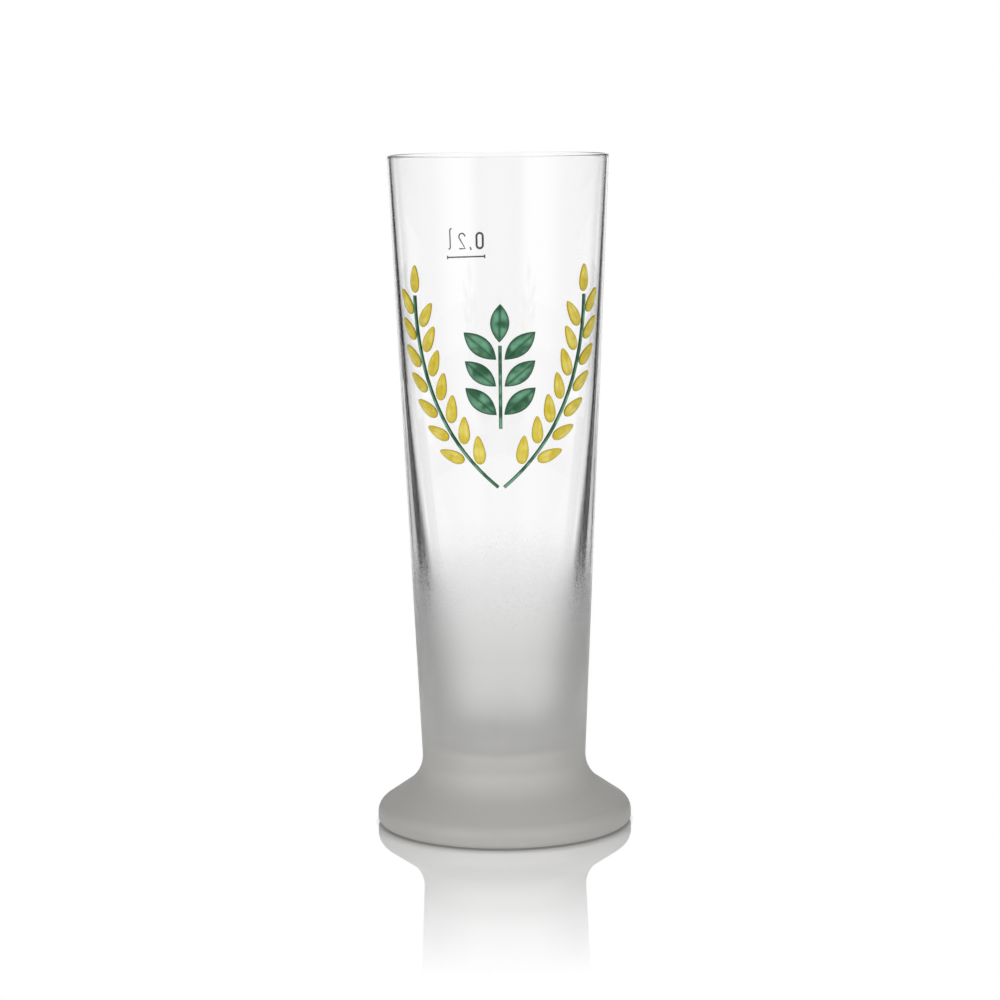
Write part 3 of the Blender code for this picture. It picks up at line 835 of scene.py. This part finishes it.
def cardMaterial(name, stops):  # plain cards, their tone set by the angle from the open back
    material, tree = startMaterial(name)
    turn = addNode(tree, "ShaderNodeAttribute", attribute_name="turn")
    tones = addNode(tree, "ShaderNodeValToRGB", {0: turn.outputs["Fac"]})
    ramp = tones.color_ramp
    while len(ramp.elements) < len(stops):
        ramp.elements.new(1.0)
    for element, (angle, level) in zip(ramp.elements, stops):
        element.position = angle / 180
        element.color = (level, level, level, 1.0)
    glow = addNode(tree, "ShaderNodeEmission", {"Color": tones.outputs[0]})
    addNode(tree, "ShaderNodeOutputMaterial", {"Surface": glow.outputs[0]})
    return material


def turnedCards(name, rings, bands):  # one band of card from each ring to the next
    start, end = cards["openRight"], 360 - cards["openLeft"]
    vertices, faces, turns, levels = [], [], [], []
    for step in range(cards["steps"] + 1):
        angle = start + (end - start) * step / cards["steps"]
        x, y = math.sin(math.radians(angle)), math.cos(math.radians(angle))
        for radius, z in rings:
            vertices.append((x * radius, y * radius, z))
            turns.append(min(angle, 360 - angle) / 180)
    for step in range(cards["steps"]):
        first = len(rings) * step
        second = first + len(rings)
        for level in range(len(rings) - 1):
            faces.append((first + level, first + level + 1, second + level + 1, second + level))
            levels.append(level)
    mesh = bpy.data.meshes.new(name)
    mesh.from_pydata(vertices, [], faces)
    values = mesh.attributes.new("turn", "FLOAT", "POINT")
    for index, value in enumerate(turns):
        values.data[index].value = value
    for band in bands:
        mesh.materials.append(cardMaterial(band + "Cards", cards[band]))
    for face, level in zip(mesh.polygons, levels):
        face.material_index = level
    return standRound(name, mesh)


def standRound(name, mesh):  # only glass and gloss see it
    piece = bpy.data.objects.new(name, mesh)
    scene.collection.objects.link(piece)
    piece.visible_camera = False
    piece.visible_diffuse = False
    piece.visible_shadow = False
    facing = piece.constraints.new("LOCKED_TRACK")  # the open side stays behind the glass in every view
    facing.target = cameraObject
    facing.track_axis = "TRACK_NEGATIVE_Y"
    facing.lock_axis = "LOCK_Z"
    return piece


def cardRing():
    radius, bottom, ceiling = cards["radius"], cards["bottom"], cards["tops"][-1]
    rings = [(radius, z) for z in [bottom] + cards["tops"]] + [(cards["hub"], ceiling)]
    ring = turnedCards("cardRing", rings, ["low", "middle", "upper", "high", "ceiling"])
    for name, side in (("rightFlag", 1), ("leftFlag", -1)):  # black flags on the floor, outside the open back
        corners = []
        for degrees, away in cards["flagCorners"]:
            angle = math.radians(degrees)
            corners.append((side * away * math.sin(angle), away * math.cos(angle), cards["flagHeight"]))
        flag = bpy.data.meshes.new(name)
        flag.from_pydata(corners, [], [(0, 1, 2, 3)])
        flag.materials.append(cardMaterial("flagCard", cards["flag"]))
        standRound(name, flag)
    table = turnedCards("tableCard", [(cards["tableInner"], bottom), (radius, bottom)], ["table"])
    table.visible_glossy = False  # only what shines through the etched glass is darkened by it
    return ring


# Soft lamps, turned with the cards
lamps = {
    "keyLamp": {"place": (-0.54, -0.87, 0.35), "size": (0.6, 0.8), "power": 5.4},
    "fillLamp": {"place": (0.58, -0.78, 0.30), "size": (0.6, 0.8), "power": 4.0},
    "topLamp": {"place": (0.0, -0.15, 1.0), "size": (0.8, 0.8), "power": 1.2},
}
lampAim = Vector((0.0, 0.0, 0.1))


def softLamp(name, place, size, power, ring):
    lamp = bpy.data.lights.new(name, "AREA")
    lamp.shape = "RECTANGLE"
    lamp.size, lamp.size_y = size
    lamp.energy = power
    holder = bpy.data.objects.new(name, lamp)
    scene.collection.objects.link(holder)
    holder.location = place
    holder.rotation_euler = (lampAim - Vector(place)).to_track_quat("-Z", "Y").to_euler()
    holder.parent = ring


whiteWorld()
acrylicFloor()
ring = cardRing()
for name, lamp in lamps.items():
    softLamp(name, **lamp, ring=ring)
print("stage set")
